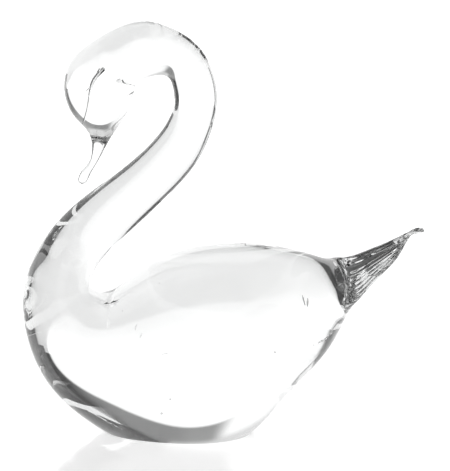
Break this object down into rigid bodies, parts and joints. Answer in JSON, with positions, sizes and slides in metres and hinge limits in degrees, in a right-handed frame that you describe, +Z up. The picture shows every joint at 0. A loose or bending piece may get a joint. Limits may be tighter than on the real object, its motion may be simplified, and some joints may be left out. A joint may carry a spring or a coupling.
{
  "type": "crystal swan figurine",
  "caption": "Solid clear glass swan with a bowed neck, a pressed tail and a flat foot, standing as a table ornament.",
  "frame": {"origin": "middle of the flat foot that the swan stands on, at floor level", "axes": "+Z up, the swan looks along -X and its tail points along +X, +Y is the swan's right side"},
  "size_m": [0.1364, 0.0672, 0.14],
  "materials": {
    "clear_glass": "clear fire-polished crystal glass"
  },
  "bodies": {
    "root": {"swan": "clear_glass"}
  },
  "joints": []
}
